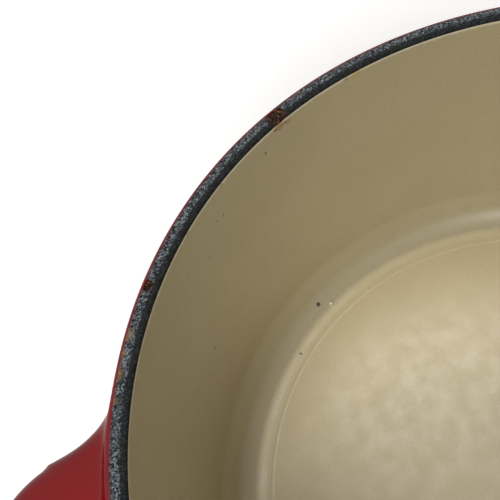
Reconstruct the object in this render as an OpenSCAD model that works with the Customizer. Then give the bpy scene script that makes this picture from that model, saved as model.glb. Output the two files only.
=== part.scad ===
// Round covered casserole: an enamelled cast-iron pot with two loop handles, and a domed lid
// with a screwed knob. The pot stands on z = 0 with its axis on Z and its handles along X.
// The lid lies off the pot, upside down on its knob, one lid_shift away along -Y.

/* [Pot] */
// Outer radius of the rim
rim_r = 124; // [110:1:140]
// Height of the rim above the table
pot_h = 111; // [90:1:140]
// Width of the rim, from its outer to its inner face
rim_w = 5.6; // [5.2:0.1:7.5]
// How far the wall leans out between the table and the lip
wall_lean = 3.6; // [0:0.2:8]
// Thickness of the wall at its foot, enamel included
wall_t = 3; // [2.4:0.1:5]
// Outer corner radius between the base and the wall
base_corner = 22; // [16:1:26]
// Inner corner radius between the floor and the wall
floor_corner = 15; // [9:1:18]
// Thickness of the bottom, enamel included
floor_t = 5.5; // [4:0.5:9]
// How far the lip stands out from the wall
lip_out = 1.8; // [1:0.2:2.4]
// Height of the lip's straight outer face
lip_h = 6.5; // [4.5:0.5:9]

/* [Enamel] */
// Thickness of every enamel coat
enamel_t = 0.5; // [0.3:0.1:0.7]
// Chips in the rim enamel, each [degrees round the rim, millimetres in from its edge, radius]
rim_chips = [[108.7, 3.6, 2.6], [140, 2.2, 1.5]];

/* [Handles] */
// How far a handle reaches beyond the rim
handle_reach = 34.5; // [28:0.5:44]
// Width of a handle between its outer sides
handle_span = 92; // [76:1:110]
// Width of the handle's bar, seen from above
bar_w = 17; // [13:0.5:21]
// Thickness of the handle's bar
bar_t = 12; // [9:0.5:15]
// Depth of the handle's top below the rim
handle_drop = 3; // [2:0.5:14]
// Centreline radius of the handle's two bends
bend_r = 20; // [16:1:28]
// Radius of the flare between a handle's outer side and the wall
flare_r = 33; // [12:1:38]
// Radius of the fillet inside the loop
inner_flare_r = 8; // [4:1:10]

/* [Lid] */
// How far the lid's edge stands out beyond the rim
lid_overhang = 0; // [-1:0.2:3]
// Height of the lid's centre above its seat
lid_rise = 28.6; // [22:0.2:36]
// Thickness of the dome, enamel included
lid_t = 4.2; // [3.5:0.1:6]
// Width of the flat flange round the dome
flange_w = 11; // [9:0.5:14]
// Thickness of the flange at its edge
flange_t = 5.5; // [4.5:0.5:8]
// Depth of the spigot that drops inside the pot
spigot_h = 4; // [3:0.5:5]
// Least play between the spigot and the pot's inner face
spigot_play = 1.2; // [0.8:0.1:2]
// Gap left under the lid when it is on the pot
seat_gap = 0.3; // [0.2:0.1:0.6]
// Distance from the pot's axis to the lid's, when the lid is off
lid_shift = 300; // [290:5:360]

/* [Knob] */
// Radius of the knob's head
knob_r = 23.5; // [19:0.5:27]
// Height of the knob above its collar
knob_h = 30; // [26:1:36]
// Radius of the knob's neck
neck_r = 10.5; // [9.5:0.5:13]
// Radius of the steel collar under the knob
collar_r = 17; // [15:0.5:18]
// Thickness of the steel collar
collar_t = 1.6; // [1.2:0.2:2.4]
// Thickness of the gasket between the collar and the lid
gasket_t = 1; // [0.6:0.2:2]
// Radius of the disc set in the top of the knob
cap_r = 15; // [12:0.5:17]
// Radius of the knob's screw
screw_r = 3; // [2.5:0.25:3.5]
// Radial play of the screw in the lid and the collar
screw_play = 0.5; // [0.3:0.1:0.8]
// Length of thread inside the knob
screw_grip = 11; // [8:1:14]
// Radius of the washer under the screw's head
washer_r = 8; // [7:0.5:10]
// Thickness of the washer
washer_t = 1.2; // [0.8:0.2:2]

/* [Hidden] */
$fn = 96;

// Segments in each rounded corner of an outline; even, so that a corner has a middle point
corner_n = 8;

// ---- Outlines: open paths with the material on their left, rounded and moved sideways ----

function unit(v) = v / norm(v);
function left(v) = [-v[1], v[0]];
function heading(p, i) = unit(p[i + 1] - p[i]);
function turn_sign(p, i) = sign(cross(heading(p, i - 1), heading(p, i)));

// The path moved d into the material
function inset_path(p, d) = [
    for (i = [0:len(p) - 1])
        let (before = left(heading(p, max(i - 1, 0))), after = left(heading(p, min(i, len(p) - 2))))
            p[i] + (before + after) * d / (1 + before * after)
];

// The radii that keep a rounded path parallel to itself when it moves d into the material
function inset_radii(p, radii, d) = [for (i = [0:len(radii) - 1]) radii[i] - d * turn_sign(p, i + 1)];

// The arc that rounds corner i to the given radius
function corner_arc(p, i, radius) =
    let (
        in_dir = heading(p, i - 1),
        side = turn_sign(p, i),
        angle = acos(in_dir * heading(p, i)),
        start = p[i] - in_dir * radius * tan(angle / 2),
        centre = start + left(in_dir) * side * radius,
        spoke = start - centre
    )
    [
        for (k = [0:corner_n])
            let (a = side * angle * k / corner_n)
                centre + [spoke[0] * cos(a) - spoke[1] * sin(a), spoke[0] * sin(a) + spoke[1] * cos(a)]
    ];

// The path with every inner corner rounded
function rounded(p, radii) = [
    p[0],
    for (i = [1:len(p) - 2]) each corner_arc(p, i, radii[i - 1]),
    p[len(p) - 1]
];

// Where corner i of a path starts, ends and has its middle in the rounded path
function arc_start(i) = 1 + (i - 1) * (corner_n + 1);
function arc_end(i) = i * (corner_n + 1);
function arc_middle(i) = arc_start(i) + corner_n / 2;

// The finished surface of the pot and the bare iron under it, as [radius, height]
rim_inner_r = rim_r - rim_w;
base_r = rim_r - lip_out - wall_lean;
floor_r = base_r - wall_t;
pot_path = [
    [0, 0],
    [base_r, 0],
    [rim_r - lip_out, pot_h - lip_h - 1.4 * lip_out],
    [rim_r, pot_h - lip_h],
    [rim_r, pot_h],
    [rim_inner_r, pot_h],
    [floor_r, floor_t],
    [0, floor_t]
];
rim_edge_r = 1.6;
rim_inner_edge_r = 1.2;
pot_radii = [base_corner, 4, 3, rim_edge_r, rim_inner_edge_r, floor_corner];
pot_surface = rounded(pot_path, pot_radii);
pot_iron = rounded(inset_path(pot_path, enamel_t), inset_radii(pot_path, pot_radii, enamel_t));
pot_last = len(pot_surface) - 1;

// Ends of the pot's coats, as places in its rounded path
base_ends = arc_start(1);
red_ends = arc_end(4) - 1;
rim_ends = arc_end(5);

// The lid in its own place: its seat on z = 0, dome up
lid_r = rim_r + lid_overhang;
spigot_r = rim_inner_r - spigot_play;
dome_r = lid_r - flange_w - 7;
boss_r = 20;
lid_path = [
    [0, lid_rise - lid_t],
    [boss_r - 4, lid_rise - lid_t],
    [0.58 * dome_r, lid_rise - lid_t - 2.8],
    [dome_r - 1.5, 8.5],
    [spigot_r - 5.7, -spigot_h],
    [spigot_r - 2.6, -spigot_h],
    [spigot_r, 0],
    [lid_r, 0],
    [lid_r, flange_t],
    [lid_r - flange_w, flange_t + 1],
    [dome_r, flange_t + 8],
    [0.58 * dome_r, lid_rise - 2.6],
    [boss_r, lid_rise],
    [0, lid_rise]
];
lid_radii = [30, 150, 12, 1.5, 1.2, 0.8, 1.5, 2.2, 6, 14, 150, 30];
lid_surface = rounded(lid_path, lid_radii);
lid_iron = rounded(inset_path(lid_path, enamel_t), inset_radii(lid_path, lid_radii, enamel_t));
lid_last = len(lid_surface) - 1;

// Ends of the lid's coats, as places in its rounded path
lining_ends = arc_end(4);
lid_rim_ends = arc_middle(7);

// Heights of the stack on the lid, in the lid's own place
gasket_z = lid_rise;
collar_z = gasket_z + gasket_t;
knob_z = collar_z + collar_t;
knob_top = knob_z + knob_h;

// The lid turns over about a line parallel to X, midway between its two places
turn_y = -lid_shift / 2;
turn_z = (pot_h + seat_gap + knob_top) / 2;

// The middle of the wall, where the handles' roots end
root_r = (rim_r - lip_out + rim_inner_r) / 2;
wall_r = rim_r - lip_out + 0.6;
handle_z = pot_h - handle_drop - bar_t / 2;
bar_r = rim_r + handle_reach - bar_w / 2;
leg_y = (handle_span - bar_w) / 2;
bend_y = leg_y - bend_r;
bend_x = bar_r - bend_r;
web_t = bar_t - 1.2;
web_sink = 0.5;

// Hairline left between a handle's iron and its coat
coat_gap = 0.02;

// ---- Shapes used by several sub-parts ----

// A ring of revolution between two parallel outlines, from place i to place j
module coat(surface, under, i, j) {
    rotate_extrude()
        polygon(concat([for (k = [i:j]) surface[k]], [for (k = [j:-1:i]) under[k]]));
}

// The lid's place when it is off the pot: turned over onto its knob
module lid_off() {
    translate([0, 2 * turn_y, 2 * turn_z - pot_h - seat_gap])
        rotate([180, 0, 0])
            children();
}

// Section of the handle's bar, inset by d: a flat oval with round ends
module bar_section(d) {
    for (side = [-1, 1])
        translate([side * (bar_w - bar_t) / 2, 0]) circle(bar_t / 2 - d);
    square([bar_w - bar_t, bar_t - 2 * d], center = true);
}

// Half of a handle's bar from the line y = 0 outwards: straight, round the bend, back to the pot.
// Each length is laid off from the end of the one before, so that the sections meet exactly.
module half_bar(d) {
    translate([bar_r, 0, 0]) {
        rotate([90, 0, 180]) linear_extrude(bend_y) bar_section(d);
        translate([-bend_r, bend_y, 0]) {
            rotate_extrude(angle = 90) translate([bend_r, 0]) bar_section(d);
            translate([0, bend_r, 0])
                rotate([90, 0, -90])
                    linear_extrude(bend_x - root_r + 14) bar_section(d);
        }
    }
}

// Web between a leg's side, where y = side_y, and the wall, which is a circle round the origin.
// Its edge is half round and follows an arc of the given radius, touching the side and the wall.
module web(side_y, radius, d) {
    out = side_y > leg_y ? 1 : -1;
    centre_y = side_y + out * radius;
    centre_x = sqrt(pow(wall_r + radius, 2) - pow(centre_y, 2));
    touch = [centre_x, centre_y] * wall_r / (wall_r + radius);
    inside = touch * (root_r - 14) / wall_r;
    edge = web_t / 2;
    difference() {
        translate([0, 0, d - edge])
            linear_extrude(web_t - 2 * d)
                polygon([
                    [inside[0], leg_y],
                    [centre_x, leg_y],
                    [centre_x, side_y],
                    touch,
                    inside
                ]);
        translate([centre_x, centre_y, 0])
            rotate_extrude()
                difference() {
                    translate([0, -web_t]) square([radius + edge, 2 * web_t]);
                    translate([radius + edge, 0]) circle(edge - d);
                }
    }
}

// Half of a handle, inset by d
module half_handle(d) {
    half_bar(d);
    web(leg_y + bar_w / 2 - web_sink, flare_r, d);
    web(leg_y - bar_w / 2 + web_sink, inner_flare_r, d);
}

// A whole handle on the +X side, inset by d, its roots ending inside the wall
module handle(d) {
    translate([0, 0, handle_z])
        difference() {
            union() {
                half_handle(d);
                mirror([0, 1, 0]) half_handle(d);
            }
            translate([0, 0, -bar_t]) cylinder(r = root_r, h = 2 * bar_t);
        }
}

module both_handles(d) {
    handle(d);
    mirror([1, 0, 0]) handle(d);
}

// ---- Pot ----

module pot_casting() {
    color("dimgray")
        union() {
            rotate_extrude() polygon(pot_iron);
            both_handles(enamel_t);
        }
}

module pot_outer_enamel() {
    core = concat([[0, enamel_t]], [for (k = [1:red_ends]) pot_iron[k]], [[0, pot_iron[red_ends][1]]]);
    color("firebrick")
        difference() {
            difference() {
                union() {
                    coat(pot_surface, pot_iron, base_ends, red_ends);
                    both_handles(0);
                }
                rotate_extrude() polygon(core);
            }
            both_handles(enamel_t - coat_gap);
        }
}

module pot_base_enamel() {
    color("firebrick") coat(pot_surface, pot_iron, 0, base_ends);
}

module pot_rim_enamel() {
    color("darkslategray")
        difference() {
            coat(pot_surface, pot_iron, red_ends, rim_ends);
            for (chip = rim_chips)
                rotate([0, 0, chip[0]])
                    translate([rim_r - chip[1], 0, pot_h - 3 * enamel_t])
                        cylinder(r = chip[2], h = 6 * enamel_t);
        }
}

module pot_inner_enamel() {
    color("wheat") coat(pot_surface, pot_iron, rim_ends, pot_last);
}

// ---- Lid ----

// The hole for the knob's screw, through iron and enamel
module screw_hole() {
    cylinder(r = screw_r + screw_play, h = 2 * lid_rise);
}

module lid_casting() {
    color("dimgray")
        lid_off()
            difference() {
                rotate_extrude() polygon(lid_iron);
                screw_hole();
            }
}

module lid_coat(i, j) {
    lid_off()
        difference() {
            coat(lid_surface, lid_iron, i, j);
            screw_hole();
        }
}

module lid_outer_enamel() {
    color("firebrick") lid_coat(lid_rim_ends, lid_last);
}

module lid_rim_enamel() {
    color("darkslategray")
        lid_off() coat(lid_surface, lid_iron, lining_ends, lid_rim_ends);
}

module lid_inner_enamel() {
    color("wheat") lid_coat(0, lining_ends);
}

// ---- Knob and its fixings, modelled on the lid's own place ----

insert_r = 6;
insert_h = screw_grip + 1;
cap_t = 1.2;
cap_sink = 0.4;
thread_play = 0.1;
head_r = 5.5;
head_h = 3;

// Outline of the knob: foot, neck, underside of the head, its edge and its flat top
knob_path = [
    [0, 0],
    [collar_r - 2, 0],
    [neck_r, 9],
    [knob_r - 1, 15],
    [knob_r, knob_h - 7],
    [knob_r - 5, knob_h],
    [0, knob_h]
];
knob_radii = [1.2, 6, 4, 6, 4];

module knob() {
    color("black")
        lid_off() translate([0, 0, knob_z])
            difference() {
                rotate_extrude() polygon(rounded(knob_path, knob_radii));
                translate([0, 0, -1]) cylinder(r = insert_r, h = insert_h + 1);
                translate([0, 0, knob_h - cap_t - cap_sink]) cylinder(r = cap_r, h = 2 * cap_t);
            }
}

module knob_insert() {
    color("goldenrod")
        lid_off() translate([0, 0, knob_z])
            difference() {
                cylinder(r = insert_r, h = insert_h);
                translate([0, 0, -1]) cylinder(r = screw_r + thread_play, h = insert_h);
            }
}

module knob_cap() {
    color("silver")
        lid_off() translate([0, 0, knob_top - cap_t - cap_sink])
            cylinder(r = cap_r, h = cap_t);
}

// A flat ring round the screw
module screw_ring(outer_r, thickness) {
    difference() {
        cylinder(r = outer_r, h = thickness);
        translate([0, 0, -thickness]) cylinder(r = screw_r + screw_play, h = 3 * thickness);
    }
}

module knob_collar() {
    color("silver") lid_off() translate([0, 0, collar_z]) screw_ring(collar_r, collar_t);
}

module knob_gasket() {
    color("dimgray") lid_off() translate([0, 0, gasket_z]) screw_ring(collar_r - 1, gasket_t);
}

module screw_washer() {
    color("silver")
        lid_off() translate([0, 0, lid_rise - lid_t - washer_t]) screw_ring(washer_r, washer_t);
}

// Pan-headed screw from under the lid, with a cross recess
module knob_screw() {
    head_z = lid_rise - lid_t - washer_t - head_h;
    color("silver")
        lid_off()
            difference() {
                union() {
                    translate([0, 0, head_z]) cylinder(r1 = head_r - 1.2, r2 = head_r, h = 1.2);
                    translate([0, 0, head_z + 1.2]) cylinder(r = head_r, h = head_h - 1.2);
                    translate([0, 0, head_z]) cylinder(r = screw_r, h = knob_z + screw_grip - head_z - 1);
                }
                for (a = [0, 90])
                    rotate([0, 0, a])
                        translate([-3, -0.6, head_z - 1]) cube([6, 1.2, 2.8]);
            }
}

pot_casting();
pot_outer_enamel();
pot_base_enamel();
pot_rim_enamel();
pot_inner_enamel();
lid_casting();
lid_outer_enamel();
lid_rim_enamel();
lid_inner_enamel();
knob();
knob_insert();
knob_cap();
knob_collar();
knob_gasket();
knob_screw();
screw_washer();
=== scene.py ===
"""Looks of the covered casserole dish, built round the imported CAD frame.

The coats of enamel and the knob are rebuilt as fine meshes that follow the CAD's own outlines, the
handles' coat is a smooth blend into the wall, and every surface gets a procedural material.
Lengths are in millimetres up to the point where a mesh is made, and in metres from there on.
"""

import math

import bpy
import numpy as np
from mathutils import Matrix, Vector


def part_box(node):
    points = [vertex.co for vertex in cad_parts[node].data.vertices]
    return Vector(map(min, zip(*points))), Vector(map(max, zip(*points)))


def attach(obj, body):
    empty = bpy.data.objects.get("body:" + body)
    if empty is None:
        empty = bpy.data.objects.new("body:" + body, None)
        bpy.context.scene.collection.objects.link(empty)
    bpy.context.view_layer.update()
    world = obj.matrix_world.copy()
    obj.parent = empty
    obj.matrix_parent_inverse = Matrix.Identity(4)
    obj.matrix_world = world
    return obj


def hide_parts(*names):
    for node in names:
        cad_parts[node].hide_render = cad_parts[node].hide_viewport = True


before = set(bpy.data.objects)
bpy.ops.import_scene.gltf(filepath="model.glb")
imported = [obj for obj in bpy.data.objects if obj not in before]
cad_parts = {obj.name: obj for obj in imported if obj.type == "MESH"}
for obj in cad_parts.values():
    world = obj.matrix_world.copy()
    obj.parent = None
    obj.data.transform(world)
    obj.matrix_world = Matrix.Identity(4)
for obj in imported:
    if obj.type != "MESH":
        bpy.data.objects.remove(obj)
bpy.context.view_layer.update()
MM = 0.001

# ---------------------------------------------------------------- sizes, as in the CAD model

RIM_R = 124.0
RIM_W = 5.6
BASE_R = 118.6
FLOOR_R = 115.6
FLOOR_T = 5.5
LIP_OUT, LIP_H = 1.8, 6.5
COAT = 0.5
POT_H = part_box("pot_rim_enamel")[1][2] / MM
POT_PATH = [
    (0, 0),
    (BASE_R, 0),
    (RIM_R - LIP_OUT, POT_H - LIP_H - 1.4 * LIP_OUT),
    (RIM_R, POT_H - LIP_H),
    (RIM_R, POT_H),
    (RIM_R - RIM_W, POT_H),
    (FLOOR_R, FLOOR_T),
    (0, FLOOR_T),
]
POT_RADII = [22, 4, 3, 1.6, 1.2, 15]
# How far the inner face comes in for each millimetre of drop
WALL_LEAN = (RIM_R - RIM_W - FLOOR_R) / (POT_H - FLOOR_T)

LID_R = 124.0
LID_RISE, LID_T = 28.6, 4.2
FLANGE_W, FLANGE_T = 11.0, 5.5
SPIGOT_H = 4.0
SPIGOT_R = RIM_R - RIM_W - 1.2
DOME_R = LID_R - FLANGE_W - 7
BOSS_R = 20.0
LID_PATH = [
    (0, LID_RISE - LID_T),
    (BOSS_R - 4, LID_RISE - LID_T),
    (0.58 * DOME_R, LID_RISE - LID_T - 2.8),
    (DOME_R - 1.5, 8.5),
    (SPIGOT_R - 5.7, -SPIGOT_H),
    (SPIGOT_R - 2.6, -SPIGOT_H),
    (SPIGOT_R, 0),
    (LID_R, 0),
    (LID_R, FLANGE_T),
    (LID_R - FLANGE_W, FLANGE_T + 1),
    (DOME_R, FLANGE_T + 8),
    (0.58 * DOME_R, LID_RISE - 2.6),
    (BOSS_R, LID_RISE),
    (0, LID_RISE),
]
LID_RADII = [30, 150, 12, 1.5, 1.2, 0.8, 1.5, 2.2, 6, 14, 150, 30]
SCREW_HOLE_R = 3.5
LID_Y = (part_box("lid_casting")[0][1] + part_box("lid_casting")[1][1]) / 2 / MM

COLLAR_R = 17.0
KNOB_Z = LID_RISE + 2.6
KNOB_R, KNOB_H, NECK_R = 23.5, 30.0, 10.5
KNOB_TOP = KNOB_Z + KNOB_H
KNOB_PATH = [
    (0, 0),
    (COLLAR_R - 2, 0),
    (NECK_R, 9),
    (KNOB_R - 1, 15),
    (KNOB_R, KNOB_H - 7),
    (KNOB_R - 5, KNOB_H),
    (0, KNOB_H),
]
KNOB_RADII = [1.2, 6, 4, 6, 4]
CAP_R, CAP_DEPTH = 15.0, 1.6
INSERT_R, INSERT_H = 6.0, 12.0

HANDLE_REACH, HANDLE_SPAN = 34.5, 92.0
BAR_W, BAR_T = 17.0, 12.0
HANDLE_DROP, BEND_R = 3.0, 20.0
FLARE_R, INNER_FLARE_R = 33.0, 8.0
BAR_R = RIM_R + HANDLE_REACH - BAR_W / 2
LEG_Y = (HANDLE_SPAN - BAR_W) / 2
BEND_X, BEND_Y = BAR_R - BEND_R, LEG_Y - BEND_R
HANDLE_Z = POT_H - HANDLE_DROP - BAR_T / 2

# Where the rim's coat is knocked off: degrees round the rim, radius from the axis, size, depth
CHIPS = [(108.7, 120.4, 2.6, 0.42), (140.0, 121.8, 1.5, 0.4)]

# Steps round a lathed piece: the rim has more, for its chips
SEGMENTS, RIM_SEGMENTS, KNOB_SEGMENTS = 384, 1720, 160

# ---------------------------------------------------------------- outlines and lathed meshes


def unit(v):
    return v / np.linalg.norm(v)


def inset(path, d):
    """The path moved d into the material, which lies on its left."""
    p = np.array(path, float)
    heading = [unit(b - a) for a, b in zip(p, p[1:])]
    left = [np.array((-h[1], h[0])) for h in heading]
    out = []
    for i, q in enumerate(p):
        a, b = left[max(i - 1, 0)], left[min(i, len(left) - 1)]
        out.append(q + (a + b) * d / (1 + a @ b))
    return out


def turns(path):
    p = np.array(path, float)
    heading = [unit(b - a) for a, b in zip(p, p[1:])]
    return [np.sign(a[0] * b[1] - a[1] * b[0]) for a, b in zip(heading, heading[1:])]


def rounded(path, radii, steps=16):
    """The path with each inner corner rounded by an arc of that many steps."""
    p = np.array(path, float)
    out = [p[0]]
    for i, radius in enumerate(radii, start=1):
        a, b = unit(p[i] - p[i - 1]), unit(p[i + 1] - p[i])
        side = np.sign(a[0] * b[1] - a[1] * b[0])
        angle = math.acos(max(-1, min(1, a @ b)))
        start = p[i] - a * radius * math.tan(angle / 2)
        centre = start + np.array((-a[1], a[0])) * side * radius
        spoke = start - centre
        for k in range(steps + 1):
            t = side * angle * k / steps
            c, s = math.cos(t), math.sin(t)
            out.append(centre + np.array((spoke[0] * c - spoke[1] * s, spoke[0] * s + spoke[1] * c)))
    out.append(p[-1])
    return out


def under(path, radii, d=COAT, steps=16):
    return rounded(inset(path, d), [r - d * s for r, s in zip(radii, turns(path))], steps)


def corner(i, part, steps=16):
    """The place in a rounded path of corner i's start (0), middle (0.5) or end (1)."""
    return 1 + (i - 1) * (steps + 1) + int(part * steps)


def resample(points, longest):
    """The points with more between them, so that no step is longer than this."""
    out = [points[0]]
    for a, b in zip(points, points[1:]):
        n = max(1, math.ceil(np.linalg.norm(b - a) / longest))
        out += [a + (b - a) * k / n for k in range(1, n + 1)]
    return out


def object_from(name, verts, faces, material, body, sharp=35):
    mesh = bpy.data.meshes.new(name)
    mesh.from_pydata([tuple(v) for v in np.asarray(verts) * MM], [], faces)
    mesh.update()
    mesh.polygons.foreach_set("use_smooth", [True] * len(mesh.polygons))
    mesh.set_sharp_from_angle(angle=math.radians(sharp))
    obj = bpy.data.objects.new(name, mesh)
    bpy.context.scene.collection.objects.link(obj)
    obj.data.materials.append(material)
    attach(obj, body)
    return obj


def lathe(section, segments=SEGMENTS):
    """Vertices and faces of a closed section, in radius and height, turned about Z.
    The section's outer side is on the right of its direction of travel."""
    angles = np.arange(segments) * 2 * math.pi / segments
    ring = np.stack([np.cos(angles), np.sin(angles)], 1)
    verts, rows = [], []
    for r, z in section:
        if r < 1e-6:
            rows.append([len(verts)] * segments)
            verts.append((0, 0, z))
        else:
            rows.append(list(range(len(verts), len(verts) + segments)))
            verts += [(r * c, r * s, z) for c, s in ring]
    faces = []
    for a, b in zip(rows, rows[1:] + rows[:1]):
        for k in range(segments):
            m = (k + 1) % segments
            quad = [a[k], a[m], b[m], b[k]]
            loop = [v for i, v in enumerate(quad) if v != quad[i - 1]]
            if len(loop) > 2:
                faces.append(loop)
    return np.array(verts), faces


def lid_place(verts):
    """From the lid's own place, dome up with its seat on z = 0, to where it lies off the pot."""
    v = np.array(verts)
    return np.stack([v[:, 0], LID_Y - v[:, 1], KNOB_TOP - v[:, 2]], 1)


# ---------------------------------------------------------------- materials


def rgb(r, g, b):
    """A display colour, 0 to 255, as the linear colour that Blender wants."""
    lin = [c / 255 / 12.92 if c / 255 <= 0.04045 else ((c / 255 + 0.055) / 1.055) ** 2.4 for c in (r, g, b)]
    return (*lin, 1.0)


class Surface:
    """A material and short ways to add nodes to it."""

    def __init__(self, name, **shader):
        self.mat = bpy.data.materials.new(name)
        self.mat.use_nodes = True
        self.tree = self.mat.node_tree
        self.tree.nodes.clear()
        self.out = self.tree.nodes.new("ShaderNodeOutputMaterial")
        self.bsdf = self.tree.nodes.new("ShaderNodeBsdfPrincipled")
        self.tree.links.new(self.bsdf.outputs[0], self.out.inputs[0])
        for k, v in shader.items():
            self.bsdf.inputs[k.replace("_", " ")].default_value = v
        self.place = self.node("ShaderNodeTexCoord").outputs["Object"]
        self.height = None

    def node(self, kind, props=None, **inputs):
        n = self.tree.nodes.new(kind)
        for k, v in (props or {}).items():
            setattr(n, k, v)
        for k, v in inputs.items():
            self.feed(n.inputs[int(k[1:])] if k[0] == "i" and k[1:].isdigit() else n.inputs[k], v)
        return n

    def feed(self, socket, value):
        if isinstance(value, bpy.types.NodeSocket):
            self.tree.links.new(value, socket)
        else:
            socket.default_value = value[:3] if socket.type == "VECTOR" else value

    def math(self, op, a, b=0.0, c=0.0, clamp=False):
        return self.node("ShaderNodeMath", {"operation": op, "use_clamp": clamp}, i0=a, i1=b, i2=c).outputs[0]

    def vector(self, op, a, b):
        n = self.node("ShaderNodeVectorMath", {"operation": op}, i0=a, i1=b)
        return n.outputs["Value"] if op in ("DISTANCE", "LENGTH") else n.outputs[0]

    def stretched(self, scale):
        return self.vector("MULTIPLY", self.place, scale)

    def noise(self, scale, detail=3.0, rough=0.55, where=None):
        return self.node(
            "ShaderNodeTexNoise",
            Vector=where or self.place,
            Scale=scale,
            Detail=detail,
            Roughness=rough,
        ).outputs["Fac"]

    def cells(self, scale, where=None):
        """Distance to the nearest of scattered points, and a random number for that point."""
        n = self.node("ShaderNodeTexVoronoi", Vector=where or self.place, Scale=scale)
        return n.outputs["Distance"], self.node("ShaderNodeSeparateColor", i0=n.outputs["Color"]).outputs[0]

    def span(self, value, lo, hi, to_lo=0.0, to_hi=1.0, smooth=True):
        n = self.node(
            "ShaderNodeMapRange", {"interpolation_type": "SMOOTHSTEP" if smooth else "LINEAR", "clamp": True}
        )
        for socket, v in zip(n.inputs, (value, lo, hi, to_lo, to_hi)):
            self.feed(socket, v)
        return n.outputs[0]

    def mix(self, factor, a, b):
        n = self.node("ShaderNodeMix", {"data_type": "RGBA"})
        self.feed(n.inputs[0], factor)
        self.feed(n.inputs[6], a)
        self.feed(n.inputs[7], b)
        return n.outputs[2]

    def times(self, colour, value):
        """The colour made lighter or darker by a factor that may vary."""
        n = self.node("ShaderNodeVectorMath", {"operation": "SCALE"})
        self.feed(n.inputs[0], colour)
        self.feed(n.inputs["Scale"], value)
        return n.outputs[0]

    def specks(self, scale, radius_mm, share):
        """Scattered round specks, 1 inside: cells of 1/scale metres, of which this share has one."""
        distance, chance = self.cells(scale)
        size = self.span(chance, 0.0, share, 1.0, 0.35, smooth=False)
        edge = self.math("MULTIPLY", size, radius_mm * MM * scale)
        inside = self.math("SUBTRACT", 1.0, self.math("DIVIDE", distance, edge), clamp=True)
        return self.math("MULTIPLY", self.span(inside, 0.0, 0.35), self.math("LESS_THAN", chance, share))

    def spot(self, centre, radius_mm, soft=0.4, ragged=0.35, grain=900.0):
        """A ragged patch round a point given in millimetres, 1 inside."""
        away = self.vector("DISTANCE", self.place, tuple(c * MM for c in centre))
        wobble = self.math("MULTIPLY_ADD", self.noise(grain, 4.0, 0.65), 2 * ragged, 1 - ragged)
        share = self.math("DIVIDE", away, self.math("MULTIPLY", wobble, radius_mm * MM))
        return self.span(share, 1 + soft, 1 - soft)

    def raise_by(self, value, depth_mm):
        """Adds to the bump: value 0 to 1 stands this many millimetres out."""
        step = self.math("MULTIPLY", value, depth_mm * MM)
        self.height = step if self.height is None else self.math("ADD", self.height, step)

    def done(self, colour=None, roughness=None, metallic=None):
        if colour is not None:
            self.feed(self.bsdf.inputs["Base Color"], colour)
        if roughness is not None:
            self.feed(self.bsdf.inputs["Roughness"], roughness)
        if metallic is not None:
            self.feed(self.bsdf.inputs["Metallic"], metallic)
        if self.height is not None:
            bump = self.node("ShaderNodeBump", Strength=1.0, Distance=1.0, Height=self.height)
            self.tree.links.new(bump.outputs[0], self.bsdf.inputs["Normal"])
            if self.bsdf.inputs["Coat Weight"].default_value > 0:
                self.tree.links.new(bump.outputs[0], self.bsdf.inputs["Coat Normal"])
        return self.mat


def on_pot(angle, radius, z):
    a = math.radians(angle)
    return radius * math.cos(a), radius * math.sin(a), z


SAND = rgb(180, 167, 132)
RUST_DARK, RUST_MID, RUST_LIGHT = rgb(20, 15, 13), rgb(60, 41, 30), rgb(132, 84, 52)


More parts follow.
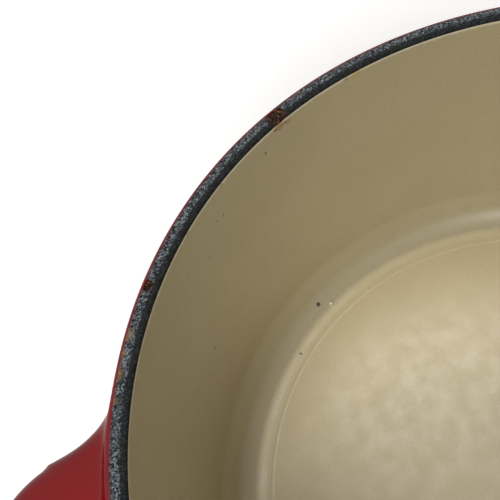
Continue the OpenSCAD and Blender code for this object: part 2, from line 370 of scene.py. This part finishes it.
def sand_enamel(name, pot):
    """Satin sand-coloured enamel with a faint mottle, pinholes and a little staining; on the pot, painted
    light and shade on the floor and round its corner, and painted highlights.
    """
    s = Surface(name, IOR=1.58)
    cloud = s.noise(16, 4.0, 0.6)
    grain = s.noise(1100, 3.0, 0.6)
    streaks = s.noise(30, 4.0, 0.6, where=s.stretched((1, 1, 0.16)))
    colour = s.times(SAND, s.span(cloud, 0.3, 0.7, 0.955, 1.03))
    colour = s.times(colour, s.span(grain, 0.25, 0.75, 0.94, 1.05))
    colour = s.mix(s.span(streaks, 0.52, 0.8, 0.0, 0.22), colour, rgb(176, 158, 116))
    holes = s.specks(95, 0.3, 0.1)
    dust = s.specks(240, 0.22, 0.12)
    colour = s.mix(s.math("MULTIPLY", holes, 0.7), colour, rgb(92, 74, 48))
    colour = s.mix(s.math("MULTIPLY", dust, 0.4), colour, rgb(120, 100, 66))
    rough = s.span(s.noise(140, 3.0), 0.3, 0.7, 0.31, 0.4)
    if pot:
        x, y, z = s.node("ShaderNodeSeparateXYZ", i0=s.place).outputs
        radius = s.math("SQRT", s.math("ADD", s.math("MULTIPLY", x, x), s.math("MULTIPLY", y, y)))
        # Painted light and shade: the floor is painted paler than the wall, and the corner round it is
        # painted darker as shade
        colour = s.times(colour, s.span(z, (FLOOR_T + 0.05) * MM, (FLOOR_T + 1.1) * MM, 1.15, 0.75))
        colour = s.times(colour, s.span(z, 7.5 * MM, 20 * MM, 1.0, 1.29))
        # Painted shadow on the half of the floor that is on the -Y side, and painted light on the +Y side,
        # with a cloudy edge between them
        painted_shadow_and_light = s.span(s.math("MULTIPLY_ADD", cloud, 14 * MM, y), 25 * MM, 99 * MM, 0.79, 1.12)
        colour = s.times(colour, s.span(z, (FLOOR_T + 1) * MM, 22 * MM, painted_shadow_and_light, 1.0))
        # Painted highlight: the ring where the floor meets its corner is painted lighter, and is also raised
        # a little
        off_ring = s.math("ABSOLUTE", s.math("SUBTRACT", radius, FLOOR_RING_R * MM))
        ring = s.span(off_ring, 0.8 * MM, 0.1 * MM)
        colour = s.times(colour, s.span(ring, 0.0, 1.0, 1.0, 1.09))
        s.raise_by(ring, 0.03)
        # Painted highlight: a thin pale line along the lining's ragged top edge
        ragged = s.math("MULTIPLY_ADD", s.noise(420, 3.0), 1.2 * MM, z)
        edge = s.span(ragged, (POT_H - 1.7) * MM, (POT_H - 1.0) * MM)
        colour = s.mix(s.math("MULTIPLY", edge, 0.7), colour, rgb(226, 217, 196))
        for angle, drop, size, tint, amount in STAINS:
            where = on_pot(angle, RIM_R - RIM_W - drop * WALL_LEAN, POT_H - drop)
            colour = s.mix(s.math("MULTIPLY", s.spot(where, size), amount), colour, tint)
        for where, size, amount in PITS:
            pit = s.math("MULTIPLY", s.spot(on_pot(*where), size, 0.25, 0.3, 1500.0), amount)
            colour = s.mix(pit, colour, rgb(44, 40, 30))
            s.raise_by(pit, -0.2)
        # Painted glint: a near-white spot on the blister, which is also raised a little
        colour = s.mix(s.spot(on_pot(*BLISTER_AND_PAINTED_GLINT), 0.5, 0.3, 0.2), colour, rgb(240, 234, 214))
        s.raise_by(s.spot(on_pot(*BLISTER_AND_PAINTED_GLINT), 0.9, 0.8, 0.0), 0.25)
    s.raise_by(s.noise(170, 2.0), 0.04)
    s.raise_by(grain, 0.006)
    s.raise_by(holes, -0.025)
    return s.done(colour, rough)


def red_enamel(name):
    """Deep glossy red enamel with orange peel, faint dark specks and a dull bloom of wear."""
    # The gloss is all in a thin coat, so that it stays red where it is seen at a low angle
    s = Surface(name, Specular_IOR_Level=0.0, Coat_Weight=0.5, Coat_IOR=1.5)
    cloud = s.noise(22, 3.0)
    colour = s.mix(s.span(cloud, 0.3, 0.7), rgb(132, 6, 12), rgb(121, 5, 10))
    colour = s.mix(s.math("MULTIPLY", s.specks(160, 0.3, 0.12), 0.6), colour, rgb(58, 8, 10))
    scuff = s.span(s.noise(700, 5.0, 0.7, where=s.stretched((1, 1, 0.25))), 0.62, 0.75)
    colour = s.mix(s.math("MULTIPLY", scuff, 0.12), colour, rgb(206, 110, 104))
    rough = s.math("ADD", s.span(s.noise(60, 4.0), 0.3, 0.75, 0.06, 0.11), s.math("MULTIPLY", scuff, 0.12))
    s.feed(s.bsdf.inputs["Coat Roughness"], rough)
    s.raise_by(s.noise(230, 2.0), 0.045)
    s.raise_by(s.noise(900, 2.0), 0.004)
    return s.done(colour, rough)


def rust_over(s, colour, rough, mask):
    """Rusted iron where mask is 1, dark with lighter crumbs."""
    crumbs = s.cells(2300)[1]
    iron = s.mix(s.span(crumbs, 0.35, 0.6), RUST_DARK, RUST_MID)
    iron = s.mix(s.span(crumbs, 0.86, 0.9), iron, RUST_LIGHT)
    return s.mix(mask, colour, iron), s.math("MAXIMUM", rough, s.math("MULTIPLY", mask, 0.9))


def rim_enamel(name, pot):
    """Matt dark grey enamel of light and dark grains, with painted shade on its inner side on the pot."""
    s = Surface(name, Specular_IOR_Level=0.15)
    coarse = s.noise(620, 4.0, 0.7)
    fine = s.noise(2300, 2.0, 0.7)
    grains = s.cells(2300)[1]
    colour = s.mix(s.span(grains, 0.26, 0.44), rgb(13, 15, 18), rgb(76, 82, 87))
    colour = s.mix(s.span(grains, 0.66, 0.95), colour, rgb(140, 148, 152))
    colour = s.mix(s.span(coarse, 0.4, 0.7, 0.0, 0.45), colour, rgb(54, 58, 63))
    rough = s.span(fine, 0.3, 0.7, 0.5, 0.72)
    if pot:
        x, y, z = s.node("ShaderNodeSeparateXYZ", i0=s.place).outputs
        radius = s.math("SQRT", s.math("ADD", s.math("MULTIPLY", x, x), s.math("MULTIPLY", y, y)))
        wander = s.math("MULTIPLY_ADD", coarse, 2.0 * MM, -1.0 * MM)
        radius = s.math("ADD", radius, wander)
        # Painted shade: the inner edge of the rim, where it turns down into the pot, is painted near black
        inner = s.span(radius, (RIM_R - RIM_W + 2.3) * MM, (RIM_R - RIM_W + 1.3) * MM)
        colour = s.mix(inner, colour, s.mix(s.span(grains, 0.5, 0.9), rgb(9, 10, 11), rgb(40, 43, 44)))
        outer = s.span(radius, (RIM_R - 2.6) * MM, (RIM_R - 1.2) * MM, 0.0, 0.5)
        colour = s.mix(s.math("MULTIPLY", outer, s.span(grains, 0.3, 0.7)), colour, rgb(92, 62, 58))
        for angle, size, amount in YELLOWED:
            stain = s.spot(on_pot(angle, RIM_R - 0.9, POT_H), size, 0.6, 0.5, 500.0)
            colour = s.mix(s.math("MULTIPLY", stain, amount), colour, rgb(150, 120, 74))
        for angle, at, size, depth in CHIPS:
            halo = s.spot(on_pot(angle, at, POT_H), size * 1.35, 0.3, 0.5)
            colour = s.mix(s.math("MULTIPLY", halo, 0.4), colour, rgb(66, 48, 38))
            rust = s.spot(on_pot(angle, at, POT_H - depth), size * 1.2, 0.12, 0.5, 480.0)
            colour, rough = rust_over(s, colour, rough, rust)
    s.raise_by(coarse, 0.12)
    s.raise_by(fine, 0.05)
    return s.done(colour, rough)


def cast_iron(name):
    s = Surface(name)
    s.raise_by(s.noise(900, 4.0, 0.7), 0.15)
    colour = s.mix(s.span(s.noise(400, 4.0), 0.35, 0.65), rgb(52, 46, 42), rgb(78, 62, 50))
    colour, rough = rust_over(s, colour, 0.62, s.span(s.noise(120, 5.0, 0.65), 0.52, 0.66))
    return s.done(colour, rough, 0.25)


def phenolic(name):
    """Black moulded plastic: nearly smooth, with hairline scuffs and a dusty bloom."""
    s = Surface(name, IOR=1.5)
    scuff = s.span(s.noise(900, 4.0, 0.7, where=s.stretched((1, 0.15, 1))), 0.6, 0.7)
    bloom = s.noise(90, 4.0)
    colour = s.mix(s.span(bloom, 0.35, 0.7), rgb(15, 15, 16), rgb(25, 25, 27))
    colour = s.mix(s.math("MULTIPLY", scuff, 0.3), colour, rgb(62, 62, 64))
    s.raise_by(s.noise(500, 3.0), 0.012)
    return s.done(colour, s.math("ADD", s.span(bloom, 0.3, 0.7, 0.24, 0.38), s.math("MULTIPLY", scuff, 0.15)))


def turned_metal(name, colour_a, colour_b, centre_y, roughness):
    """Metal with fine rings left by the lathe round the knob's axis."""
    s = Surface(name, Anisotropic=0.45)
    x, y, z = s.node("ShaderNodeSeparateXYZ", i0=s.place).outputs
    off = s.math("SUBTRACT", y, centre_y * MM)
    radius = s.math("SQRT", s.math("ADD", s.math("MULTIPLY", x, x), s.math("MULTIPLY", off, off)))
    rings = s.noise(5200, 3.0, 0.7, where=s.node("ShaderNodeCombineXYZ", X=radius, Z=z).outputs[0])
    smear = s.noise(160, 4.0)
    colour = s.mix(s.span(rings, 0.3, 0.7), colour_a, colour_b)
    colour = s.times(colour, s.span(smear, 0.3, 0.7, 0.88, 1.04))
    s.raise_by(rings, 0.006)
    wear = s.math("ADD", rings, s.math("MULTIPLY", smear, 0.5))
    return s.done(colour, s.span(wear, 0.5, 1.0, roughness - 0.08, roughness + 0.12), 1.0)


def soft_rubber(name):
    s = Surface(name, IOR=1.42)
    s.raise_by(s.noise(1400, 3.0, 0.7), 0.02)
    colour = s.mix(s.span(s.noise(300, 4.0), 0.35, 0.65), rgb(34, 34, 35), rgb(48, 48, 49))
    return s.done(colour, s.span(s.noise(500), 0.3, 0.7, 0.6, 0.75))


# Stains on the cream edge and wall: degrees, millimetres below the rim, size, colour, amount
STAINS = [
    (109.0, 2.2, 1.7, rgb(150, 92, 44), 0.6),
    (107.4, 3.2, 1.1, rgb(160, 108, 64), 0.5),
    (110.0, 2.4, 0.6, rgb(60, 34, 22), 0.7),
    (107.9, 2.6, 0.5, rgb(70, 38, 24), 0.7),
    (94.6, 2.2, 1.6, rgb(186, 152, 78), 0.5),
    (96.4, 2.0, 0.7, rgb(150, 104, 58), 0.5),
    (131.0, 2.0, 0.9, rgb(140, 110, 66), 0.4),
    (122.0, 2.0, 0.8, rgb(130, 100, 62), 0.4),
]
# Pits in the pot's lining, each where it is (degrees, radius, height), its size and how dark it is
PITS = [
    ((113.2, 109.2, 7.9), 0.85, 1.0),
    ((124.7, 103.2, 5.7), 0.55, 0.7),
    ((137.7, 117.0, 56.8), 0.45, 0.8),
    ((112.7, 118.2, 103.0), 0.42, 0.8),
    ((123.7, 118.1, 98.0), 0.34, 0.7),
    ((125.2, 118.1, 98.8), 0.3, 0.7),
    ((129.4, 117.9, 90.7), 0.34, 0.6),
]
# A blister beside the first pit, raised a little and with a painted glint on it: degrees, radius, height
BLISTER_AND_PAINTED_GLINT = (111.0, 106.1, 6.4)
# Radius of the faint ring where the floor meets its corner, which is painted lighter as a highlight and
# raised a little
FLOOR_RING_R = FLOOR_R - POT_RADII[5] - 1.0
# Tan stains along the outer edge of the rim: degrees, size, amount
YELLOWED = [(147.0, 1.7, 0.6), (149.4, 1.3, 0.6), (152.0, 1.8, 0.5), (155.4, 1.2, 0.5)]

MAT = {
    "pot_sand": sand_enamel("sand_enamel_pot", True),
    "lid_sand": sand_enamel("sand_enamel_lid", False),
    "red": red_enamel("red_enamel"),
    "pot_rim": rim_enamel("rim_enamel_pot", True),
    "lid_rim": rim_enamel("rim_enamel_lid", False),
    "iron": cast_iron("cast_iron"),
    "phenolic": phenolic("phenolic"),
    "steel": turned_metal("turned_steel", rgb(168, 168, 170), rgb(204, 204, 206), LID_Y, 0.3),
    "brass": turned_metal("turned_brass", rgb(176, 138, 66), rgb(206, 170, 96), LID_Y, 0.32),
    "gasket": soft_rubber("gasket_rubber"),
}

# ---------------------------------------------------------------- the pot's coats

pot_top = rounded(POT_PATH, POT_RADII)
pot_iron = under(POT_PATH, POT_RADII)
base_end, red_end, rim_end = corner(1, 0), corner(4, 0.875), corner(5, 1)


def coat(top, iron, i, j, longest=6.0):
    """The closed section of a coat between places i and j of its outline."""
    return resample(top[i : j + 1], longest) + resample(iron[i : j + 1], longest)[::-1]


v, f = lathe(coat(pot_top, pot_iron, base_end, red_end))
wall_coat = object_from("pot_wall_coat", v, f, MAT["red"], "pot")
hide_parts("pot_outer_enamel")

v, f = lathe(coat(pot_top, pot_iron, 0, base_end))
base_coat = object_from("pot_base_coat", v, f, MAT["red"], "pot")
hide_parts("pot_base_enamel")

v, f = lathe(coat(pot_top, pot_iron, rim_end, len(pot_top) - 1))
lining = object_from("pot_lining", v, f, MAT["pot_sand"], "pot")
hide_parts("pot_inner_enamel")

# The rim's coat is fine enough to carry its chips, which go down nearly to the iron
v, f = lathe(coat(pot_top, pot_iron, red_end, rim_end, 0.35), RIM_SEGMENTS)
angle, radius = np.degrees(np.arctan2(v[:, 1], v[:, 0])), np.hypot(v[:, 0], v[:, 1])
above = v[:, 2] > POT_H - 0.45
for at_angle, at_radius, size, depth in CHIPS:
    cx, cy, _ = on_pot(at_angle, at_radius, 0)
    dx, dy = v[:, 0] - cx, v[:, 1] - cy
    bearing = np.arctan2(dy, dx)
    ragged = 1 + 0.16 * np.sin(3 * bearing + at_angle) + 0.1 * np.sin(7 * bearing + 2.1)
    ragged = ragged + 0.06 * np.sin(13 * bearing)
    inside = np.clip((1 - np.hypot(dx, dy) / (size * ragged)) / 0.22, 0, 1)
    crumb = 0.07 * np.sin(9 * dx + 4 * dy) * np.sin(7 * dy - 3 * dx + 1)
    v[:, 2] -= np.where(above, inside * inside * (3 - 2 * inside) * (depth + crumb), 0)
rim_coat = object_from("pot_rim_coat", v, f, MAT["pot_rim"], "pot")
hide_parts("pot_rim_enamel")

# ---------------------------------------------------------------- the handles' coat


def surface_nets(field, lo, hi, step):
    """Vertices and quads of the surface where the field is 0, on a grid of cubes."""
    axes = [np.arange(a, b + step, step) for a, b in zip(lo, hi)]
    grid = np.stack(np.meshgrid(*axes, indexing="ij"), -1)
    val = field(grid.reshape(-1, 3)).reshape(grid.shape[:3])
    neg = val < 0
    shape = tuple(n - 1 for n in val.shape)
    total, count = np.zeros((*shape, 3)), np.zeros(shape)
    offsets = [(i, j, k) for i in (0, 1) for j in (0, 1) for k in (0, 1)]

    def part(array, o):
        return array[o[0] : o[0] + shape[0], o[1] : o[1] + shape[1], o[2] : o[2] + shape[2]]

    for a in offsets:
        for axis in range(3):
            if a[axis]:
                continue
            b = tuple(x + (1 if n == axis else 0) for n, x in enumerate(a))
            va, vb = part(val, a), part(val, b)
            cut = part(neg, a) != part(neg, b)
            t = np.where(cut, va / np.where(cut, va - vb, 1), 0)[..., None]
            point = part(grid, a) * (1 - t) + part(grid, b) * t
            total += np.where(cut[..., None], point, 0)
            count += cut
    used = count > 0
    index = -np.ones(shape, int)
    index[used] = np.arange(used.sum())
    verts = total[used] / count[used][:, None]
    faces = []
    for axis in range(3):
        u, w = (axis + 1) % 3, (axis + 2) % 3
        first = [slice(None)] * 3
        second = [slice(None)] * 3
        first[axis], second[axis] = slice(0, -1), slice(1, None)
        cut = neg[tuple(first)] != neg[tuple(second)]
        for p in np.argwhere(cut):
            if p[u] == 0 or p[w] == 0 or p[u] >= shape[u] or p[w] >= shape[w] or p[axis] >= shape[axis]:
                continue
            quad = []
            for du, dw in ((1, 1), (0, 1), (0, 0), (1, 0)):
                q = p.copy()
                q[u] -= du
                q[w] -= dw
                quad.append(int(index[tuple(q)]))
            faces.append(quad if neg[tuple(p)] else quad[::-1])
    return verts, faces


def settle(field, verts, rounds=5):
    """Moves the vertices onto the surface, along the field's slope."""
    for _ in range(rounds):
        value = field(verts)
        slope = np.stack(
            [(field(verts + d) - field(verts - d)) / 0.04 for d in 0.02 * np.eye(3)],
            1,
        )
        verts = verts - slope * (value / np.maximum((slope**2).sum(1), 0.1))[:, None]
    return verts


def smooth_min(a, b, k):
    h = np.maximum(k - np.abs(a - b), 0) / k
    return np.minimum(a, b) - h * h * h * k / 6


def plan_flare(x, y, side_y, radius):
    """Distance to the plan of the web between a leg's side and the wall."""
    out = 1 if side_y > LEG_Y else -1
    wall = RIM_R - LIP_OUT + 0.6
    cy = side_y + out * radius
    cx = math.sqrt((wall + radius) ** 2 - cy**2)
    tx, ty = cx * wall / (wall + radius), cy * wall / (wall + radius)
    along = unit(np.array((tx - cx, ty - side_y)))
    normal = np.array((along[1], -along[0])) * out
    chord = (x - cx) * normal[0] + (y - side_y) * normal[1]
    past_tip = 0.6 * out * ((y - ty) * tx - (x - tx) * ty) / wall
    return np.maximum.reduce([radius - np.hypot(x - cx, y - cy), x - cx, out * (LEG_Y - y), chord, past_tip])


def handle_field(p):
    """Distance to a +X handle's finished surface, before it meets the wall."""
    x, y, z = p[:, 0], np.abs(p[:, 1]), p[:, 2] - HANDLE_Z
    bar = np.hypot(x - BAR_R, np.maximum(y - BEND_Y, 0))
    bend = np.abs(np.hypot(x - BEND_X, y - BEND_Y) - BEND_R)
    leg = np.hypot(np.maximum(x - BEND_X, 0), y - LEG_Y)
    path = np.where((x > BEND_X) & (y > BEND_Y), bend, np.minimum(bar, leg))
    plan = path - BAR_W / 2
    plan = smooth_min(plan, plan_flare(x, y, LEG_Y + BAR_W / 2, FLARE_R), 3.0)
    plan = smooth_min(plan, plan_flare(x, y, LEG_Y - BAR_W / 2, INNER_FLARE_R), 3.0)
    r = BAR_T / 2 - 0.05
    u, w = plan + r, np.abs(z) - (BAR_T / 2 - r)
    return np.minimum(np.maximum(u, w), 0) + np.hypot(np.maximum(u, 0), np.maximum(w, 0)) - r


outer_r, outer_z = np.array(pot_top[corner(1, 1) : red_end + 1]).T
# How far the coat goes under the wall's surface where it ends, how far its blend with the wall
# reaches, and how deep it goes under the wall
SINK = 0.03
BLEND = 7.0
UNDER_WALL = 2.4


def off_wall(p):
    """How far out from the wall's finished surface, level with it."""
    return np.hypot(p[:, 0], p[:, 1]) - np.interp(p[:, 2], outer_z, outer_r)


def coat_field(p):
    """The handle with its blend into the wall, as far as the blend reaches and a little way under
    the wall's surface."""
    h, out = handle_field(p), off_wall(p)
    wall = np.maximum(out + SINK, p[:, 2] - POT_H + 0.3)
    return np.maximum.reduce([smooth_min(h, wall, BLEND), -(out + UNDER_WALL), h - BLEND * 0.97])


hv, hf = surface_nets(coat_field, (82, -92, HANDLE_Z - 17), (161, 92, POT_H + 3), 1.0)
hv = settle(coat_field, hv)
for side, name in ((1, "handle_coat_px"), (-1, "handle_coat_mx")):
    v = hv * (side, 1, 1)
    f = hf if side > 0 else [q[::-1] for q in hf]
    handle = object_from(name, v, f, MAT["red"], "pot", sharp=60)
    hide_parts("pot_outer_enamel")

# ---------------------------------------------------------------- the lid's coats and knob

lid_top = rounded(LID_PATH, LID_RADII)
lid_iron = under(LID_PATH, LID_RADII)
lining_end, lid_rim_end = corner(4, 1), corner(7, 0.5)


def bored(section):
    """The section with its end at the axis moved out to the screw hole's wall."""
    return [np.array((max(q[0], SCREW_HOLE_R), q[1])) for q in section]


v, f = lathe(bored(coat(lid_top, lid_iron, 0, lining_end)))
lid_lining = object_from("lid_lining", lid_place(v), f, MAT["lid_sand"], "lid")
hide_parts("lid_inner_enamel")

v, f = lathe(coat(lid_top, lid_iron, lining_end, lid_rim_end, 2.0))
lid_seat = object_from("lid_seat_coat", lid_place(v), f, MAT["lid_rim"], "lid")
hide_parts("lid_rim_enamel")

v, f = lathe(bored(coat(lid_top, lid_iron, lid_rim_end, len(lid_top) - 1)))
lid_dome = object_from("lid_dome_coat", lid_place(v), f, MAT["red"], "lid")
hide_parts("lid_outer_enamel")

# The knob's outside, then the seat of its cap and the hole of its brass thread
knob_outline = rounded(KNOB_PATH, KNOB_RADII, 20)
KNOB_HOLES = [
    (CAP_R, KNOB_H),
    (CAP_R, KNOB_H - CAP_DEPTH),
    (0, KNOB_H - CAP_DEPTH),
    (0, INSERT_H),
    (INSERT_R, INSERT_H),
]
knob_section = [np.array((INSERT_R, 0.0))] + resample(knob_outline[1:-1], 1.5)
knob_section += [np.array(q, float) for q in KNOB_HOLES]
v, f = lathe(knob_section, KNOB_SEGMENTS)
v[:, 2] += KNOB_Z
knob = object_from("knob_body", lid_place(v), f, MAT["phenolic"], "lid")
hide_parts("knob")

# ---------------------------------------------------------------- CAD nodes that stay

KEPT = {
    "pot_casting": "iron",
    "lid_casting": "iron",
    "knob_insert": "brass",
    "knob_cap": "steel",
    "knob_collar": "steel",
    "knob_gasket": "gasket",
    "knob_screw": "steel",
    "screw_washer": "steel",
}
for node, key in KEPT.items():
    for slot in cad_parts[node].material_slots:
        slot.material = MAT[key]

# ---------------------------------------------------------------- floor, light and camera


def stage_floor():
    mesh = bpy.data.meshes.new("floor")
    s = 6.0
    mesh.from_pydata([(-s, -s, 0), (s, -s, 0), (s, s, 0), (-s, s, 0)], [], [(0, 1, 2, 3)])
    floor = bpy.data.objects.new("floor", mesh)
    bpy.context.scene.collection.objects.link(floor)
    floor.location.z = -0.0004
    surface = Surface("pale_floor", Emission_Color=(1, 1, 1, 1))
    grain = surface.noise(40, 3.0)
    paper = surface.mix(grain, rgb(240, 240, 240), rgb(244, 244, 244))
    light_path = surface.node("ShaderNodeLightPath").outputs
    seen = surface.math("MAXIMUM", light_path["Is Camera Ray"], light_path["Is Glossy Ray"])
    seen = surface.math("MAXIMUM", seen, light_path["Is Transmission Ray"])
    colour = surface.mix(seen, paper, (1, 1, 1, 1))
    # Away from the lamps the paper glows as bright as they leave it near the object
    away = surface.vector("LENGTH", surface.place, (0, 0, 0))
    glow = surface.span(away, 0.7, 3.2, 0.3, 0.85)
    surface.feed(surface.bsdf.inputs["Emission Strength"], surface.math("MULTIPLY", seen, glow))
    floor.data.materials.append(surface.done(colour, surface.span(grain, 0.3, 0.7, 0.6, 0.7)))


def lamp(name, where, look_at, size, watts, colour=(1, 1, 1)):
    data = bpy.data.lights.new(name, "AREA")
    data.shape, data.size, data.energy, data.color = "DISK", size, watts, colour
    obj = bpy.data.objects.new(name, data)
    bpy.context.scene.collection.objects.link(obj)
    direction = np.array(look_at, float) - np.array(where, float)
    z = -unit(direction)
    x = unit(np.cross((0.0, 0.0, 1.0) if abs(z[2]) < 0.99 else (0.0, 1.0, 0.0), z))
    y = np.cross(z, x)
    obj.matrix_world = Matrix([[x[i], y[i], z[i], where[i]] for i in range(3)] + [[0, 0, 0, 1]])


stage_floor()
lamp("key", (-0.53, -0.92, 1.11), (0, 0, 0.05), 0.7, 14)
lamp("overhead", (0.28, 0.49, 1.44), (0, 0, 0.05), 0.6, 6, (1.0, 0.97, 0.92))

world = bpy.data.worlds.new("studio")
bpy.context.scene.world = world
world.use_nodes = True
tree = world.node_tree
tree.nodes.clear()
paths = tree.nodes.new("ShaderNodeLightPath")
seen = tree.nodes.new("ShaderNodeMath")
seen.operation = "MAXIMUM"
tree.links.new(paths.outputs["Is Camera Ray"], seen.inputs[0])
tree.links.new(paths.outputs["Is Transmission Ray"], seen.inputs[1])
shiny = tree.nodes.new("ShaderNodeMath")
shiny.operation = "MAXIMUM"
tree.links.new(seen.outputs[0], shiny.inputs[0])
tree.links.new(paths.outputs["Is Glossy Ray"], shiny.inputs[1])
plain = tree.nodes.new("ShaderNodeBackground")
plain.inputs["Color"].default_value = (1, 1, 1, 1)
plain.inputs["Strength"].default_value = 0.22
white = tree.nodes.new("ShaderNodeBackground")
white.inputs["Color"].default_value = (1, 1, 1, 1)
white.inputs["Strength"].default_value = 1.0
choose = tree.nodes.new("ShaderNodeMixShader")
tree.links.new(shiny.outputs[0], choose.inputs[0])
tree.links.new(plain.outputs[0], choose.inputs[1])
tree.links.new(white.outputs[0], choose.inputs[2])
sky = tree.nodes.new("ShaderNodeOutputWorld")
tree.links.new(choose.outputs[0], sky.inputs[0])

# The camera looks down over the near rim at the far wall, from inside the circle of the mouth
camera = bpy.data.objects.new("camera", bpy.data.cameras.new("camera"))
bpy.context.scene.collection.objects.link(camera)
bpy.context.scene.camera = camera
camera.data.sensor_width = 36.0
camera.data.lens = 50.4
camera.data.clip_start, camera.data.clip_end = 0.005, 20.0
right, up, back = (0.90530, -0.37963, -0.19057), (0.42256, 0.75909, 0.49520), (-0.04333, -0.52883, 0.84762)
eye = (-0.07201, -0.02621, POT_H * MM + 0.16156)
camera.matrix_world = Matrix([[right[i], up[i], back[i], eye[i]] for i in range(3)] + [[0, 0, 0, 1]])

bpy.context.scene.view_settings.view_transform = "Standard"
